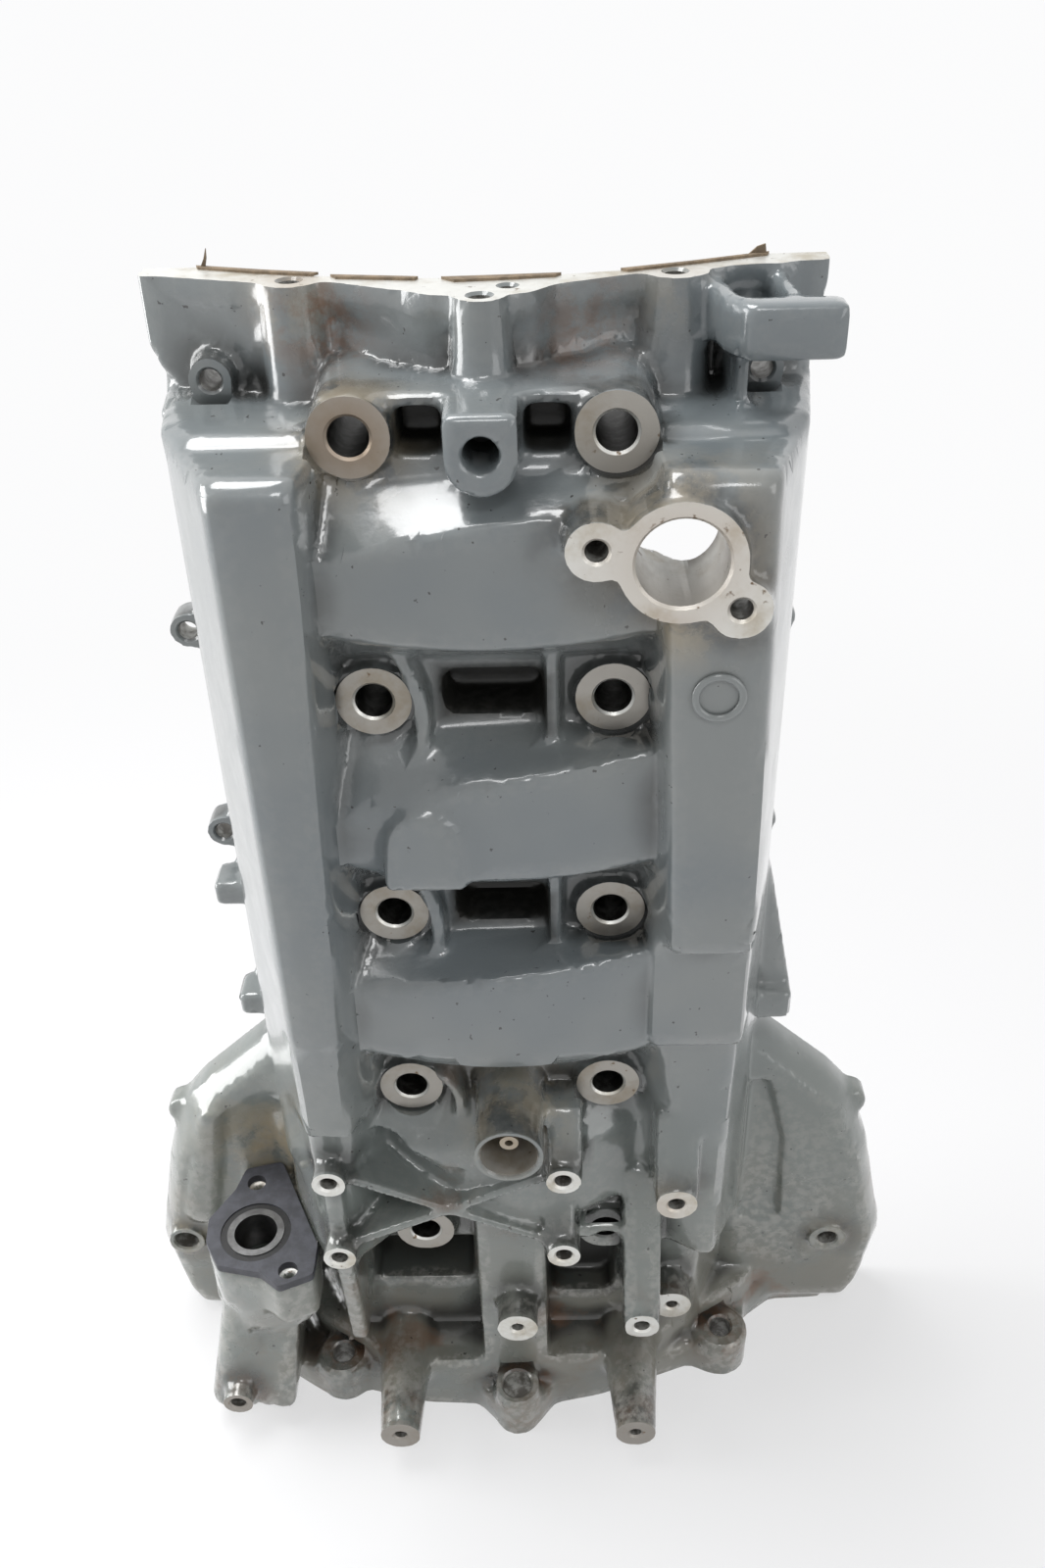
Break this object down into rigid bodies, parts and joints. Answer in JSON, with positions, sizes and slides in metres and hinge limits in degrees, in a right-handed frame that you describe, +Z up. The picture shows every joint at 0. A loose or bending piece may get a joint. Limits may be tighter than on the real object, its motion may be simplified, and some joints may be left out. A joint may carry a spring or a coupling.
{
  "type": "crankcase half",
  "caption": "Deep outer crankcase half for an upright crankshaft: walled crank bays, main bearing webs, ringed bolt bosses, side rails, a pipe port and a winged foot flange.",
  "frame": {"origin": "on the crank axis, in the parting plane, at the lower mounting face", "axes": "+Z up along the crank axis, +Y from the parting plane towards the cylinder block, +X right as seen from outside"},
  "size_m": [0.35, 0.11, 0.506],
  "materials": {
    "enamel": "gloss enamel, worn and oily",
    "shell": "satin bearing alloy",
    "steel": "ground steel",
    "gasket": "matt dark grey",
    "seal": "matt black",
    "scraps": "torn old gasket"
  },
  "bodies": {
    "root": {"crankcase_casting": "enamel", "locating_dowels": "steel", "oil_passage_gasket": "gasket", "oil_passage_seal_ring": "seal", "oil_passage_sleeve": "steel", "top_gasket_remnants": "scraps", "main_bearing_shell_1": "shell", "main_bearing_shell_2": "shell", "main_bearing_shell_3": "shell", "main_bearing_shell_4": "shell", "main_bearing_shell_5": "shell"}
  },
  "joints": []
}
